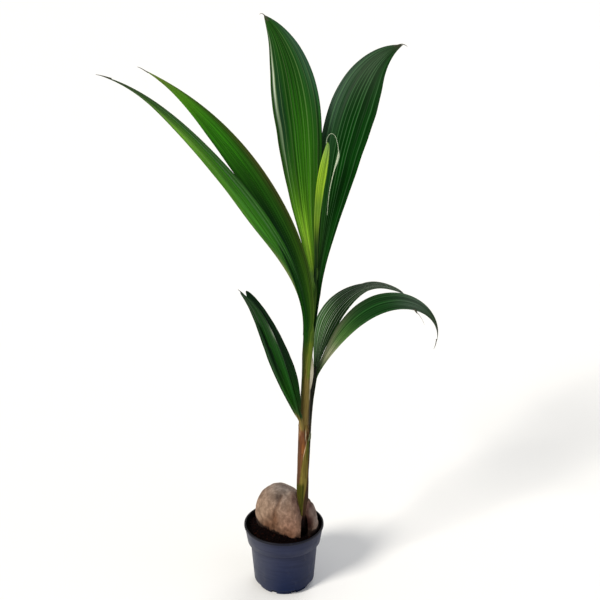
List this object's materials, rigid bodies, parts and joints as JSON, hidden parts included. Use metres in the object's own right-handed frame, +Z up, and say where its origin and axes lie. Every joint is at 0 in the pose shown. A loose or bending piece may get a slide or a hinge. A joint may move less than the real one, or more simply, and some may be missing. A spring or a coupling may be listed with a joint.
{
  "type": "potted coconut palm seedling",
  "caption": "Young coconut palm in a nursery pot: a half-buried husk, a stem of leaf sheaths, split pleated leaves and a rolled spear leaf.",
  "frame": {"origin": "centre of the pot's flat underside, where it meets the surface it stands on", "axes": "+Z up along the pot's axis, the front of the plant as pictured towards -Y, the side leaf towards -X"},
  "size_m": [0.6828, 0.3188, 1.3155],
  "materials": {
    "pot": "moulded slate blue-grey plastic, matte",
    "soil": "damp dark potting mix, granular",
    "husk": "dry weathered husk skin, grey and pinkish brown, matte",
    "stem": "smooth olive green sheath, faintly ribbed",
    "old_sheath": "dry fibrous sheath, reddish brown",
    "leaf": "pleated green leaf, satin",
    "young_leaf": "yellow-green rolled leaf, satin"
  },
  "bodies": {
    "root": {"arching_leaf_back_lower": "leaf", "arching_leaf_back_upper": "leaf", "arching_leaf_front_lower": "leaf", "arching_leaf_front_upper": "leaf", "arching_leaf_stalk": "stem", "base_sheath": "old_sheath", "brown_sheath": "old_sheath", "husk": "husk", "lower_leaf_far": "leaf", "lower_leaf_near": "leaf", "lower_leaf_stalk": "stem", "pot": "pot", "side_leaf_far_lower": "leaf", "side_leaf_far_upper": "leaf", "side_leaf_near_lower": "leaf", "side_leaf_near_upper": "leaf", "side_leaf_stalk": "stem", "soil": "soil", "spear_leaf": "young_leaf", "stem": "stem", "top_leaf_left": "leaf", "top_leaf_right": "leaf", "top_leaf_stalk": "stem", "torn_sheath": "old_sheath"}
  },
  "joints": []
}
